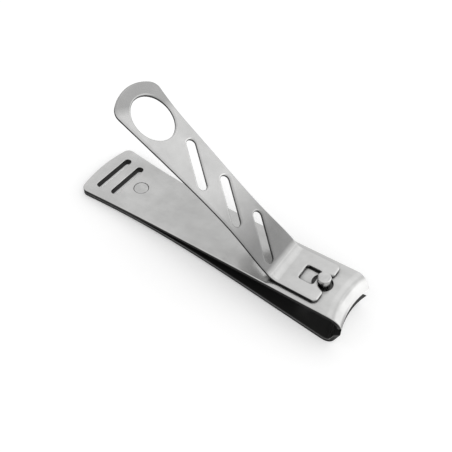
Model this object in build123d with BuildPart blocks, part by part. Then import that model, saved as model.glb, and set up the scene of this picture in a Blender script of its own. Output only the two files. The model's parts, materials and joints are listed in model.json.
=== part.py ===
from build123d import *
from math import asin, atan2, cos, hypot, radians, sin, tan
import os

# Lever-type nail clipper lying on its lower leaf, lever swung up ready to press.
# The leaves are drawn in the clipper's own frame: x runs from the tail to the jaws, y across,
# z away from the middle plane where the two leaves touch at the tail.

# Leaves
LENGTH = 80.0            # tail end to cutting edges
MIDDLE_X = 40.18         # halfway from the tail to the noses, as the clipper lies
SHEET = 1.05             # thickness of each leaf
FLAT_TAIL = 8.5          # straight tail before the leaves start to part
SPREAD = 4.66            # degrees that each leaf leaves the middle plane
SPREAD_RADIUS = 498.0    # gentle bend between the tail and the straight run
TAIL_WIDTH = 20.0
SHOULDER = (17.0, 17.4)  # places along x, and widths there
NECK = (54.0, 15.6)
HEAD = (76.0, 15.7)
TAIL_BULGE = 1.3         # how far the tail end is rounded out
TAIL_CORNER = 2.0
EDGE_ROUND = 0.2         # rounding of the leaves' outer edges
RIM_ROUND = 0.15         # rounding of the rims of their slots and holes

# Jaws: each leaf's nose is a bent hook, revolved about an axis ahead of it so its edge is hollow
# Each hook: outer radius of its bend, degrees that it turns, straight lip down to the cutting edge
UPPER_HOOK = (3.8, 68.0, 1.02)
LOWER_HOOK = (2.2, 76.0, 3.0)
EDGE_HOLLOW = 21.0       # radius of the hollow cutting edge, seen from above
EDGE_WIDTH = 14.4        # across the corners of the cutting edge
EDGE_OVERRUN = 0.25      # how far the edges' corners reach beyond LENGTH
LIP_BEVEL = 0.4          # share of each lip that is ground away inside, down to its edge
NOSE_LAP = 3.0           # flat part of the nose that overlaps the straight run

# Tail slots and rivet
TAIL_SLOTS = [(4.6, 13.2), (9.4, 12.4)]   # position along x, end-to-end length
TAIL_SLOT_WIDTH = 2.1
RIVET_X = 14.4
RIVET_RADIUS = 2.05
RIVET_CLEARANCE = 0.09   # in the upper leaf, which turns about the rivet
RIVET_RIM = 0.12         # broken edge round the rivet

# Post, square to the upper leaf
POST_X = 71.26           # where its axis leaves the upper leaf's top
POST_RADIUS = 1.6
POST_HEIGHT = 2.55       # above the upper leaf
POST_CHAMFER = 0.18
POST_FIT = 0.05          # radial running clearance in the lower leaf
POST_HEAD_RADIUS = 2.4
POST_HEAD_DEPTH = 0.5
POST_HEAD_TOP = 0.75     # the head's top lies this far inside the lower leaf
POST_HOLE = (5.2, 4.7)   # oval hole in the upper leaf, along x and y
POST_HOLE_SHIFT = -0.35  # the hole's centre lies behind the post's
NOTCH_FLOOR = -0.15      # bottom, top and depth of the notch for the lever's crossbar
NOTCH_TOP = 1.35
NOTCH_FACE = -0.22

# Lever
LEVER_SHEET = 1.0
LEVER_GAP = 0.05         # between the lever's foot and the upper leaf
LOBE_FRONT = 1.25        # how far the foot reaches ahead of the post's axis
HEEL = 8.96              # where the foot ends and the bend starts
HEEL_RADIUS = 4.0        # on top of the sheet
HEEL_TURN = 38.0
SAG_TURN, SAG_RUN = 4.0, 39.0     # the handle first flattens
KICK_TURN, KICK_RUN = 9.3, 18.0   # then its tip kicks up
HANDLE_SLOPE = 36.5      # mean slope, square to which the handle is punched
FOOT_WIDTH = 12.6
FOOT_RUN = 1.0           # how far the foot's straight sides run into the handle
WAIST = (10.0, 11.6)     # places along the handle, and widths there
GRIP = (32.0, 12.3)
TIP = (51.5, 15.2)
TIP_CORNER = 3.0
LEVER_LENGTH = 54.8      # bend to tip, measured along the mean slope
TOP_ROUND = 0.42         # rolled rounding of its top edges
BOTTOM_ROUND = 0.15
GRIP_SLOTS = [7.0, 18.8, 30.6]    # three diagonal slots, from the bend
GRIP_SLOT_LENGTH, GRIP_SLOT_WIDTH = 13.2, 2.6
GRIP_SLOT_TURN = 33.0
EYE_X = 45.5             # oval eye near the tip
EYE_RADII = (6.0, 5.35)
CROSSBAR = (-1.8, -0.42)          # back and front of the bar that sits in the post's notch
WINDOW_BACK = -5.7
WINDOW_WIDTH = 4.8
WINDOW_CORNER = 0.7
FORK_BACK_WIDTH, FORK_FRONT_WIDTH = 3.9, 6.0
FORK_CORNER = 0.7
LOBE_CORNER = 1.3
LOBE_INNER_CORNER = 0.8

# Where the gentle bend ends and the straight run starts
SLOPE = radians(SPREAD)
RUN_START_X = FLAT_TAIL + SPREAD_RADIUS * sin(SLOPE)
RUN_START_Z = SPREAD_RADIUS * (1 - cos(SLOPE))


def run_height(x):
    """Height of a leaf's inner face above the middle plane along its straight run."""
    return RUN_START_Z + (x - RUN_START_X) * tan(SLOPE)


def bend_height(x):
    """Height of a leaf's inner face above the middle plane within the gentle bend."""
    return SPREAD_RADIUS - (SPREAD_RADIUS**2 - (x - FLAT_TAIL) ** 2) ** 0.5


def hook_reach(radius, turn, lip):
    """How far a hook reaches ahead of the start of its bend."""
    return radius * sin(radians(turn)) + lip * cos(radians(turn))


# A hook's bend starts at this x in the middle, and further ahead at the edge's corners
EDGE_SAGITTA = EDGE_HOLLOW - (EDGE_HOLLOW**2 - (EDGE_WIDTH / 2) ** 2) ** 0.5
EDGE_MIDDLE_X = LENGTH + EDGE_OVERRUN - EDGE_SAGITTA
LOWER_NOSE_X = EDGE_MIDDLE_X - hook_reach(*LOWER_HOOK)

# The clipper lies on its tail edge and on the round of its lower nose's corners: that is its tilt
LOWER_RADIUS = LOWER_HOOK[0]
ROUND_X = LOWER_NOSE_X + EDGE_SAGITTA - (SHEET - LOWER_RADIUS) * sin(SLOPE)
ROUND_Z = run_height(LOWER_NOSE_X + EDGE_SAGITTA) + (SHEET - LOWER_RADIUS) * cos(SLOPE) - SHEET
TILT = atan2(ROUND_Z, ROUND_X) + asin(LOWER_RADIUS / hypot(ROUND_X, ROUND_Z))

clip = Plane(
    origin=(-MIDDLE_X, 0, SHEET * cos(TILT)),
    x_dir=(cos(TILT), 0, sin(TILT)),
    z_dir=(-sin(TILT), 0, cos(TILT)),
)
underside = Plane(origin=clip.origin, x_dir=clip.x_dir, z_dir=-clip.z_dir)


def side_view(frame):
    """The plane of symmetry of a frame, seen with the frame's z upward."""
    return Plane(origin=frame.origin, x_dir=frame.x_dir, z_dir=-frame.y_dir)


def on_leaf(frame, x, height=SHEET):
    """A frame on a leaf's straight run, level with its outer face, with z square to the leaf."""
    foot = (x - height * sin(SLOPE), 0, run_height(x) + height * cos(SLOPE))
    along = frame.x_dir * cos(SLOPE) + frame.z_dir * sin(SLOPE)
    outward = frame.z_dir * cos(SLOPE) - frame.x_dir * sin(SLOPE)
    return Plane(origin=frame.from_local_coords(foot), x_dir=along, z_dir=outward)


def edges_where(solid, frame, test):
    """Edges of a solid whose middle, in the frame's coordinates, passes a test."""
    return [e for e in solid.edges() if test(frame.to_local_coords(e.center()))]


def across_sheet(edge, frame):
    """Whether an edge is straight and square to a frame."""
    return edge.geom_type == GeomType.LINE and abs((edge % 0.5).dot(frame.z_dir)) > 0.999


def bent_leaf(frame, radius, turn, lip):
    """Strip, hooked nose, outline and tail slots of one leaf, bent away from the frame."""
    nose_x = EDGE_MIDDLE_X - hook_reach(radius, turn, lip)
    nose = on_leaf(frame, nose_x)
    with BuildPart() as leaf:
        with BuildSketch(side_view(frame)):
            with BuildLine():
                tail = Line((0, 0), (FLAT_TAIL, 0))
                bend = JernArc(tail @ 1, tail % 1, SPREAD_RADIUS, SPREAD)
                run = (nose_x - NOSE_LAP / 2 - RUN_START_X) / cos(SLOPE)
                Line(bend @ 1, bend @ 1 + (bend % 1) * run)
                offset(amount=SHEET, side=Side.LEFT)
            make_face()
        extrude(amount=TAIL_WIDTH, both=True)

        with BuildSketch(side_view(nose)):
            with BuildLine():
                top = Line((-NOSE_LAP, 0), (0, 0))
                outer_bend = JernArc(top @ 1, (1, 0), radius, -turn)
                outer_lip = Line(outer_bend @ 1, outer_bend @ 1 + (outer_bend % 1) * lip)
                inner_bend = JernArc((0, -SHEET), (1, 0), radius - SHEET, -turn)
                inner_lip = Line(inner_bend @ 1, inner_bend @ 1 + (inner_bend % 1) * (1 - LIP_BEVEL) * lip)
                Line(inner_lip @ 1, outer_lip @ 1)
                Polyline(top @ 0, (-NOSE_LAP, -SHEET), (0, -SHEET))
            make_face()
        hollow_axis = nose.from_local_coords((hook_reach(radius, turn, lip) + EDGE_HOLLOW, 0, 0))
        revolve(axis=Axis(hollow_axis, nose.z_dir))

        with BuildSketch(frame):
            with BuildLine():
                side = Spline(
                    (TAIL_BULGE, TAIL_WIDTH / 2),
                    (SHOULDER[0], SHOULDER[1] / 2),
                    (NECK[0], NECK[1] / 2),
                    (HEAD[0], HEAD[1] / 2),
                    tangents=[(1, -0.1), (1, 0)],
                )
                corner = TangentArc(side @ 1, (LENGTH + 1, EDGE_WIDTH / 2 - 0.5), tangent=side % 1)
                Line(corner @ 1, ((corner @ 1).X, 0))
                mirror(about=Plane.XZ)
                ThreePointArc((TAIL_BULGE, TAIL_WIDTH / 2), (0, 0), (TAIL_BULGE, -TAIL_WIDTH / 2))
            make_face()
            fillet([v for v in vertices() if abs(v.Y) > TAIL_WIDTH / 2 - 0.01], TAIL_CORNER)
        extrude(amount=LENGTH, mode=Mode.INTERSECT)

        outline = edges_where(leaf, frame, lambda p: abs(p.Y) > EDGE_WIDTH / 2 - 0.8 or p.X < TAIL_BULGE)
        fillet([e for e in outline if not across_sheet(e, frame)], EDGE_ROUND)

        with BuildSketch(frame):
            for x, length in TAIL_SLOTS:
                with Locations((x, 0)):
                    SlotOverall(length, TAIL_SLOT_WIDTH, rotation=90)
        extrude(amount=2 * SHEET, mode=Mode.SUBTRACT)
        slots_end = RIVET_X - 2 * RIVET_RADIUS
        rims = edges_where(
            leaf, frame, lambda p: 1 < p.X < slots_end and abs(p.Y) < TAIL_SLOTS[0][1] / 2 and p.Z > SHEET / 2
        )
        fillet([e for e in rims if not across_sheet(e, frame)], RIM_ROUND)
    return leaf.part


# z runs along the post's axis, from the upper leaf's top
pin = on_leaf(clip, POST_X)
LOWER_FACE = -2 * (run_height(POST_X) + SHEET) / cos(2 * SLOPE)   # where it leaves the lower leaf

upper_leaf = bent_leaf(clip, *UPPER_HOOK)
with BuildPart() as upper_blade:
    add(upper_leaf)
    with BuildSketch(clip):
        with Locations((RIVET_X, 0)):
            Circle(RIVET_RADIUS + RIVET_CLEARANCE)
    extrude(amount=3 * SHEET, mode=Mode.SUBTRACT)
    with BuildSketch(pin):
        with Locations((POST_HOLE_SHIFT, 0)):
            SlotOverall(*POST_HOLE)
    extrude(amount=-2 * SHEET, mode=Mode.SUBTRACT)
    hole_rim = edges_where(
        upper_blade, pin, lambda p: hypot(p.X - POST_HOLE_SHIFT, p.Y) < POST_HOLE[0] and abs(p.Z) < 0.01
    )
    fillet(hole_rim, RIM_ROUND)

lower_leaf = bent_leaf(underside, *LOWER_HOOK)
with BuildPart() as lower_blade:
    add(lower_leaf)
    with BuildSketch(underside):
        with Locations((RIVET_X, 0)):
            Circle(RIVET_RADIUS)
    extrude(amount=3 * SHEET, mode=Mode.SUBTRACT)
    with BuildSketch(pin.offset(LOWER_FACE - SHEET)):
        Circle(POST_RADIUS + POST_FIT)
    extrude(amount=4 * SHEET, mode=Mode.SUBTRACT)
    with BuildSketch(pin.offset(LOWER_FACE - SHEET)):
        Circle(POST_HEAD_RADIUS + POST_FIT)
    extrude(amount=SHEET + POST_HEAD_TOP + POST_FIT, mode=Mode.SUBTRACT)

rivet = Plane(origin=clip.from_local_coords((RIVET_X, 0, 0)), x_dir=clip.x_dir, z_dir=clip.z_dir)
with BuildPart() as tail_rivet:
    with BuildSketch(rivet):
        Circle(RIVET_RADIUS)
    extrude(amount=SHEET + bend_height(RIVET_X), both=True)
    chamfer(tail_rivet.edges().filter_by(GeomType.CIRCLE), RIVET_RIM)

with BuildPart() as post:
    with BuildSketch(side_view(pin)):
        with BuildLine():
            Polyline(
                (0, POST_HEIGHT),
                (POST_RADIUS - POST_CHAMFER, POST_HEIGHT),
                (POST_RADIUS, POST_HEIGHT - POST_CHAMFER),
                (POST_RADIUS, LOWER_FACE + POST_HEAD_TOP),
                (POST_HEAD_RADIUS, LOWER_FACE + POST_HEAD_TOP),
                (POST_HEAD_RADIUS, LOWER_FACE + POST_HEAD_TOP - POST_HEAD_DEPTH),
                (0, LOWER_FACE + POST_HEAD_TOP - POST_HEAD_DEPTH),
                close=True,
            )
        make_face()
    revolve(axis=Axis(pin.origin, pin.z_dir))
    with BuildSketch(side_view(pin)):
        with BuildLine():
            Polyline(
                (-2 * POST_RADIUS, NOTCH_FLOOR),
                (NOTCH_FACE, NOTCH_FLOOR),
                (NOTCH_FACE, NOTCH_TOP),
                (-2 * POST_RADIUS, NOTCH_TOP),
                close=True,
            )
        make_face()
    extrude(amount=2 * POST_RADIUS, both=True, mode=Mode.SUBTRACT)

LEVER_TOP = LEVER_GAP + LEVER_SHEET
HEEL_REACH = HEEL_RADIUS * sin(radians(HEEL_TURN))
HEEL_RISE = HEEL_RADIUS * (1 - cos(radians(HEEL_TURN)))
MEAN = radians(HANDLE_SLOPE)
handle = Plane(
    origin=pin.from_local_coords((-HEEL - HEEL_REACH, 0, LEVER_TOP + HEEL_RISE)),
    x_dir=pin.z_dir * sin(MEAN) - pin.x_dir * cos(MEAN),
    z_dir=pin.x_dir * sin(MEAN) + pin.z_dir * cos(MEAN),
)


def upright_corners(solid, x, width):
    """The pair of corners at x, a width apart, that stand square to the lever's foot."""
    corners = edges_where(solid, pin, lambda p: abs(p.X - x) < 0.01 and abs(abs(p.Y) - width / 2) < 0.01)
    return [e for e in corners if across_sheet(e, pin)]


def sheet_rims(solid, outward):
    """Every edge of the lever's faces on the side that looks outward."""
    faces = [face for face in solid.faces() if face.normal_at().dot(outward) > 0.75]
    return [e for e in solid.edges() if any(e in face.edges() for face in faces)]


with BuildPart() as lever:
    # Bent strip, seen from the side
    with BuildSketch(side_view(pin)):
        with BuildLine():
            foot = Line((LOBE_FRONT, LEVER_TOP), (-HEEL, LEVER_TOP))
            heel = JernArc(foot @ 1, foot % 1, HEEL_RADIUS, -HEEL_TURN)
            sag = JernArc(heel @ 1, heel % 1, SAG_RUN / radians(SAG_TURN), SAG_TURN)
            JernArc(sag @ 1, sag % 1, KICK_RUN / radians(KICK_TURN), -KICK_TURN)
            offset(amount=LEVER_SHEET, side=Side.LEFT)
        make_face()
    extrude(amount=TAIL_WIDTH, both=True)

    # Outline, punched square to the handle
    with BuildSketch(handle.offset(-LENGTH)):
        with BuildLine():
            foot_side = Line((-3 * HEEL, FOOT_WIDTH / 2), (FOOT_RUN, FOOT_WIDTH / 2))
            Spline(
                foot_side @ 1,
                (WAIST[0], WAIST[1] / 2),
                (GRIP[0], GRIP[1] / 2),
                (TIP[0], TIP[1] / 2),
                tangents=[(1, 0), (1, 0.14)],
            )
            Line(foot_side @ 0, ((foot_side @ 0).X, 0))
            mirror(about=Plane.XZ)
            ThreePointArc((TIP[0], TIP[1] / 2), (LEVER_LENGTH, 0), (TIP[0], -TIP[1] / 2))
        make_face()
        fillet([v for v in vertices() if v.X > TIP[0] - 0.01], TIP_CORNER)
    extrude(amount=2 * LENGTH, mode=Mode.INTERSECT)

    # Eye and diagonal grip slots
    with BuildSketch(handle):
        with Locations((EYE_X, 0)):
            Ellipse(*EYE_RADII)
        for x in GRIP_SLOTS:
            with Locations((x, 0)):
                SlotOverall(GRIP_SLOT_LENGTH, GRIP_SLOT_WIDTH, rotation=-GRIP_SLOT_TURN)
    extrude(amount=3 * LEVER_SHEET, both=True, mode=Mode.SUBTRACT)

    # Window behind the post, and the fork that leaves the crossbar between them
    with BuildSketch(pin):
        with Locations(((WINDOW_BACK + CROSSBAR[0]) / 2, 0)):
            RectangleRounded(CROSSBAR[0] - WINDOW_BACK, WINDOW_WIDTH, WINDOW_CORNER)
        with BuildLine():
            fork_side = Line((CROSSBAR[1], FORK_BACK_WIDTH / 2), (LOBE_FRONT, FORK_FRONT_WIDTH / 2))
            Polyline(fork_side @ 1, (2 * LOBE_FRONT, FORK_FRONT_WIDTH / 2), (2 * LOBE_FRONT, 0))
            Line(fork_side @ 0, (CROSSBAR[1], 0))
            mirror(about=Plane.XZ)
        make_face()
    extrude(amount=2 * LEVER_TOP, mode=Mode.SUBTRACT)
    fillet(upright_corners(lever, LOBE_FRONT, FORK_FRONT_WIDTH), LOBE_INNER_CORNER)
    fillet(upright_corners(lever, LOBE_FRONT, FOOT_WIDTH), LOBE_CORNER)
    fillet(upright_corners(lever, CROSSBAR[1], FORK_BACK_WIDTH), FORK_CORNER)
    fillet(sheet_rims(lever, handle.z_dir), TOP_ROUND)
    fillet(sheet_rims(lever, -handle.z_dir), BOTTOM_ROUND)

os.makedirs("parts", exist_ok=True)
pieces = {
    "upper_blade": upper_blade,
    "lower_blade": lower_blade,
    "tail_rivet": tail_rivet,
    "post": post,
    "lever": lever,
}
for name, piece in pieces.items():
    piece.part.label = name
    export_step(piece.part, "parts/" + name + ".step")
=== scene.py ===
import json
import math
from functools import partial

import bpy
from mathutils import Matrix, Vector

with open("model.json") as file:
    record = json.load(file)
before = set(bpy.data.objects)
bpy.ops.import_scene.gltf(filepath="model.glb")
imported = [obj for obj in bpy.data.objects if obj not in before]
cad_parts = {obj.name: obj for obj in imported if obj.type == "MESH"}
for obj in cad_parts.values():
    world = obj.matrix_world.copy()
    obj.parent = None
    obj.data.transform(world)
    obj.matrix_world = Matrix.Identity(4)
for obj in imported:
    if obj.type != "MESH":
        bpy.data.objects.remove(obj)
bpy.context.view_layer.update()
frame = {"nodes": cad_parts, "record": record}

MM = 0.001

# The clipper's own frame, from its mounts: along runs from the tail to the jaws, square to the flat tail
mounts = {mount["name"]: mount for mount in frame["record"]["mounts"]}
TAIL_TOP = Vector(mounts["tail_slots"]["pos_m"])     # on top of the flat tail, 7 mm from its end
SQUARE = Vector(mounts["tail_slots"]["axis"])
ACROSS = Vector((0, 1, 0))
ALONG = ACROSS.cross(SQUARE)
LEVER_SQUARE = Vector(mounts["lever_eye"]["axis"])   # square to the lever's handle, at rest
LEVER_ALONG = LEVER_SQUARE.cross(ACROSS)             # from the handle's bend to its tip


# Nodes

def fill(tree, socket, value):
    """Links another node's output to a socket, or sets the socket to a plain value."""
    if isinstance(value, bpy.types.NodeSocket):
        tree.links.new(value, socket)
    else:
        socket.default_value = value


def add_node(tree, kind, **inputs):
    """A shader node with values or links for its inputs; an underscore stands for a space."""
    node = tree.nodes.new(kind)
    for name, value in inputs.items():
        fill(tree, node.inputs[name.replace("_", " ")], value)
    return node


def noise(tree, place, size, detail=2.0, stretch=(1, 1, 1)):
    """Noise from 0 to 1 whose features are about size metres wide, longer where stretch is above 1."""
    scale = [1 / (size * s) for s in stretch]
    mapped = add_node(tree, "ShaderNodeMapping", Vector=place, Scale=scale)
    texture = add_node(tree, "ShaderNodeTexNoise", Vector=mapped.outputs["Vector"], Scale=1.0, Detail=detail)
    return texture.outputs["Fac"]


def between(tree, value, low, high, start=0.0, end=1.0):
    """Value rescaled so that start gives low and end gives high, held at both ends."""
    limits = {"From_Min": start, "From_Max": end, "To_Min": low, "To_Max": high}
    return add_node(tree, "ShaderNodeMapRange", Value=value, **limits).outputs["Result"]


def vary(tree, texture, low, high):
    """Noise rescaled to run from low to high over the values that it takes nearly everywhere."""
    return between(tree, texture, low, high, 0.3, 0.7)


def combine(tree, operation, first, *others):
    """Values or sockets taken together, from the left, by one math operation."""
    for other in others:
        node = tree.nodes.new("ShaderNodeMath")
        node.operation = operation
        fill(tree, node.inputs[0], first)
        fill(tree, node.inputs[1], other)
        first = node.outputs[0]
    return first


def dot(tree, vector, direction):
    product = tree.nodes.new("ShaderNodeVectorMath")
    product.operation = "DOT_PRODUCT"
    fill(tree, product.inputs[0], vector)
    fill(tree, product.inputs[1], direction)
    return product.outputs["Value"]


def unsigned_dot(tree, vector, direction):
    return combine(tree, "ABSOLUTE", dot(tree, vector, direction), 0)


# Painted shade on walls and inner faces, and painted dark reflection on the lever, from 0 to 1 over a piece,
# by its place and normal at rest

def blade_painted_shade(tree, place, normal, inner):
    """Painted shade on a leaf's sides and its slots' walls at the tail, and on the face that looks towards
    inner, where the gap between the leaves is in shade.
    """
    sides = between(tree, unsigned_dot(tree, normal, ACROSS), 0, 1, 0.85, 0.97)
    inner_face = between(tree, dot(tree, normal, inner), 0, 1, 0.3, 0.6)
    upright = between(tree, unsigned_dot(tree, normal, SQUARE), 0, 1, 0.5, 0.3)
    in_tail_half = between(tree, dot(tree, place, ALONG), 1, 0, 0, 2 * MM)
    return combine(tree, "MAXIMUM", sides, inner_face, combine(tree, "MULTIPLY", upright, in_tail_half))


def lever_painted_shade(tree, place, normal):
    """Painted shade on the lever's walls, round its outline and its holes."""
    return between(tree, unsigned_dot(tree, normal, LEVER_SQUARE), 0, 1, 0.3, 0.12)


def lever_dark_reflection(tree, place):
    """Painted dark reflection on the lever's tip and low handle: 1 past a slanting line near its tip, 1.7
    just above its bend.
    """
    from_tail = dot(tree, place, LEVER_ALONG)
    tip = max(LEVER_ALONG.dot(vertex.co) for vertex in frame["nodes"]["lever"].data.vertices)
    slanted = combine(tree, "ADD", from_tail, dot(tree, place, 0.45 * ACROSS))
    at_tip = between(tree, slanted, 0, 1, tip - 7.6 * MM, tip - 5.2 * MM)
    low_handle = between(tree, from_tail, 1.7, 0, tip - 48 * MM, tip - 30 * MM)
    above_bend = between(tree, from_tail, 0, 1, tip - 55.2 * MM, tip - 53.7 * MM)
    return combine(tree, "MAXIMUM", at_tip, combine(tree, "MULTIPLY", low_handle, above_bend))


# Steel

PAINTED_WALL_SHADE = 0.12        # painted shade on walls and inner faces, as a share of the open face's tone
SHEARED_ROUGHNESS = 0.25    # more than the finished face's
DARK_REFLECTION_SHADE = 0.67      # painted dark reflection: share of the tone left where it is 1
CORNER_PAINTED_SHADE = 0.08         # painted shade in corners: share of the open face's tone left, deep in a corner
CORNER_REACH = 1.5 * MM
WEAR_AND_GLINT_RADIUS = 0.25 * MM
WEAR_AND_GLINT_SHADE = 0.08           # added to an edge's tone: partly wear, partly a painted glint
TINT = {"Red": 1.0, "Green": 0.998, "Blue": 0.99}


def edge_wear_and_glint(tree):
    """1 along edges, where a rounded normal leaves the true one: worn edges, also brightened as a painted
    glint.
    """
    rounded = add_node(tree, "ShaderNodeBevel", Radius=WEAR_AND_GLINT_RADIUS)
    rounded.samples = 4
    true_normal = tree.nodes.new("ShaderNodeNewGeometry").outputs["Normal"]
    return between(tree, dot(tree, rounded.outputs["Normal"], true_normal), 1.0, 0.0, 0.86, 0.995)


def corner_painted_shade(tree):
    """Painted shade in corners: the share of the steel's tone left, least in corners, all of it in the open.
    """
    corners = add_node(tree, "ShaderNodeAmbientOcclusion", Distance=CORNER_REACH)
    corners.samples = 8
    return between(tree, corners.outputs["AO"], CORNER_PAINTED_SHADE, 1.0, 0.4, 0.9)


def steel(name, shade, roughness, cloud_size, grain=(30, 1, 1), cloud_depth=0.1, wall_shade_mask=None, dark_reflection=None):
    """Satin stainless steel: cloudy sheet, fine brushed grain, painted shade in its corners, and edges
    brightened partly by wear and partly as a painted glint.

    The wall shade mask (tree, place, normal) gives 1 on walls and inner faces, which get painted shade and
    are left dull and dark, and the dark-reflection callback (tree, place) says how strongly a painted dark
    reflection darkens the tone.
    """
    material = bpy.data.materials.new(name)
    material.use_nodes = True
    tree = material.node_tree
    tree.nodes.clear()
    coordinates = tree.nodes.new("ShaderNodeTexCoord")
    place = coordinates.outputs["Object"]

    clouds = noise(tree, place, cloud_size, detail=4.0, stretch=(1.6, 1, 1))
    smears = noise(tree, place, 0.4 * cloud_size, stretch=(1, 1.4, 1))
    lines = noise(tree, place, 0.09 * MM, stretch=grain)
    specks = noise(tree, place, 0.25 * MM)
    wear_and_glint = edge_wear_and_glint(tree)

    tone = combine(
        tree,
        "MULTIPLY",
        vary(tree, clouds, shade * (1 - cloud_depth), shade * (1 + cloud_depth)),
        vary(tree, smears, 0.97, 1.03),
        vary(tree, lines, 0.97, 1.03),
    )
    # edges lighter: partly wear, partly a painted glint
    tone = combine(tree, "ADD", tone, combine(tree, "MULTIPLY", wear_and_glint, WEAR_AND_GLINT_SHADE))
    rough = combine(
        tree,
        "MULTIPLY",
        vary(tree, clouds, roughness * 1.15, roughness * 0.87),
        vary(tree, specks, 0.92, 1.08),
        between(tree, wear_and_glint, 1.0, 0.7),
    )
    # painted shade: walls and inner faces darkened, and made rougher
    if wall_shade_mask:
        wall_shade = wall_shade_mask(tree, place, coordinates.outputs["Normal"])
        tone = combine(tree, "MULTIPLY", tone, between(tree, wall_shade, 1.0, PAINTED_WALL_SHADE))
        rough = combine(tree, "ADD", rough, between(tree, wall_shade, 0.0, SHEARED_ROUGHNESS))
    # painted dark reflection on the lever's tip and low handle
    if dark_reflection:
        reflection_tone = between(tree, dark_reflection(tree, place), 1.0, 2 * DARK_REFLECTION_SHADE - 1, 0, 2)
        tone = combine(tree, "MULTIPLY", tone, reflection_tone)
    # painted shade in corners
    tone = combine(tree, "MULTIPLY", tone, corner_painted_shade(tree))
    channels = {channel: combine(tree, "MULTIPLY", tone, tint) for channel, tint in TINT.items()}
    colour = add_node(tree, "ShaderNodeCombineColor", **channels)

    low_specks = combine(tree, "MULTIPLY", specks, 0.15)
    height = combine(tree, "ADD", combine(tree, "MULTIPLY", lines, 0.6), low_specks)
    fine = add_node(tree, "ShaderNodeBump", Height=height, Distance=0.002 * MM, Strength=1.0)
    waves = add_node(
        tree, "ShaderNodeBump", Height=clouds, Distance=0.06 * MM, Strength=1.0, Normal=fine.outputs["Normal"]
    )

    shader = add_node(
        tree,
        "ShaderNodeBsdfPrincipled",
        Base_Color=colour.outputs["Color"],
        Metallic=1.0,
        Roughness=rough,
        Normal=waves.outputs["Normal"],
    )
    add_node(tree, "ShaderNodeOutputMaterial", Surface=shader.outputs["BSDF"])
    return material


upper_steel = steel("upper_steel", 0.7, 0.2, 7 * MM, wall_shade_mask=partial(blade_painted_shade, inner=-SQUARE))
lower_steel = steel("lower_steel", 0.7, 0.2, 7 * MM, wall_shade_mask=partial(blade_painted_shade, inner=SQUARE))
lever_steel = steel("lever_steel", 0.74, 0.18, 6 * MM, cloud_depth=0.06, wall_shade_mask=lever_painted_shade, dark_reflection=lever_dark_reflection)
pin_steel = steel("pin_steel", 0.68, 0.24, 2 * MM, grain=(1, 1, 1))
for node, material in [
    ("upper_blade", upper_steel),
    ("lower_blade", lower_steel),
    ("lever", lever_steel),
    ("post", pin_steel),
    ("tail_rivet", pin_steel),
]:
    for slot in frame["nodes"][node].material_slots:
        slot.material = material


# Floor

FLOOR_RADIUS = 6.0      # metres, far beyond every view


def make_floor():
    """A wide white disc under the clipper, which the steel doesn't mirror."""
    bpy.ops.mesh.primitive_circle_add(vertices=96, radius=FLOOR_RADIUS, fill_type="NGON")
    floor = bpy.context.object
    floor.name = "floor"
    paper = bpy.data.materials.new("floor_paper")
    paper.use_nodes = True
    shader = paper.node_tree.nodes["Principled BSDF"]
    shader.inputs["Base Color"].default_value = (0.93, 0.93, 0.93, 1)
    shader.inputs["Roughness"].default_value = 0.9
    shader.inputs["Emission Color"].default_value = (1, 1, 1, 1)
    shader.inputs["Emission Strength"].default_value = 0.3
    floor.data.materials.append(paper)
    floor.visible_glossy = False


# Light: a soft studio all round, brighter ahead of the jaws and over the post, dimmer where the handle looks

DIM_BELOW = (-0.62, 0.3)    # height of a direction, and the light from there and below
FULL_ABOVE = (-0.3, 0.95)
PANELS = [
    # direction, degrees from it where the panel is full, degrees where it ends, light that it adds
    ((0.60, 0.55, 0.58), 3.0, 9.0, -0.6),
    ((-0.47, 0.52, 0.70), 1.0, 4.5, -0.3),
    ((0.00, 0.55, 0.84), 8.0, 24.0, 0.25),
    ((0.84, 0.52, 0.10), 30.0, 46.0, 0.65),
]


def make_world():
    world = bpy.data.worlds.new("studio")
    bpy.context.scene.world = world
    world.use_nodes = True
    tree = world.node_tree
    tree.nodes.clear()
    towards = tree.nodes.new("ShaderNodeTexCoord").outputs["Generated"]
    height = add_node(tree, "ShaderNodeSeparateXYZ", Vector=towards).outputs["Z"]
    light = between(tree, height, DIM_BELOW[1], FULL_ABOVE[1], DIM_BELOW[0], FULL_ABOVE[0])
    for direction, full, end, amount in PANELS:
        facing = dot(tree, towards, Vector(direction).normalized())
        panel = between(tree, facing, 0.0, amount, math.cos(math.radians(end)), math.cos(math.radians(full)))
        light = combine(tree, "ADD", light, panel)
    background = add_node(tree, "ShaderNodeBackground", Strength=light)
    add_node(tree, "ShaderNodeOutputWorld", Surface=background.outputs["Background"])


# Camera

CAMERA_TARGET = TAIL_TOP + ALONG * 33 * MM
CAMERA_TURN = math.radians(-56.45)      # about the clipper's own upright, from its length
CAMERA_ELEVATION = math.radians(50.64)  # above the flat tail
CAMERA_ROLL = math.radians(2.755)
CAMERA_DISTANCE = 153.86 * MM
CAMERA_LENS = 47.04
CAMERA_SHIFT = (0.0206, 0.0120)


def make_camera():
    flat = ALONG * math.cos(CAMERA_TURN) + ACROSS * math.sin(CAMERA_TURN)
    back = flat * math.cos(CAMERA_ELEVATION) + SQUARE * math.sin(CAMERA_ELEVATION)
    right = SQUARE.cross(back).normalized()
    upright = Matrix((right, back.cross(right), back)).transposed().to_4x4()
    camera = bpy.data.objects.new("camera", bpy.data.cameras.new("camera"))
    bpy.context.scene.collection.objects.link(camera)
    place = Matrix.Translation(CAMERA_TARGET + back * CAMERA_DISTANCE)
    camera.matrix_world = place @ upright @ Matrix.Rotation(CAMERA_ROLL, 4, "Z")
    camera.data.lens = CAMERA_LENS
    camera.data.sensor_width = 36.0
    camera.data.shift_x, camera.data.shift_y = CAMERA_SHIFT
    camera.data.clip_start = 1 * MM
    bpy.context.scene.camera = camera


make_floor()
make_world()
make_camera()
bpy.context.scene.view_settings.view_transform = "Standard"
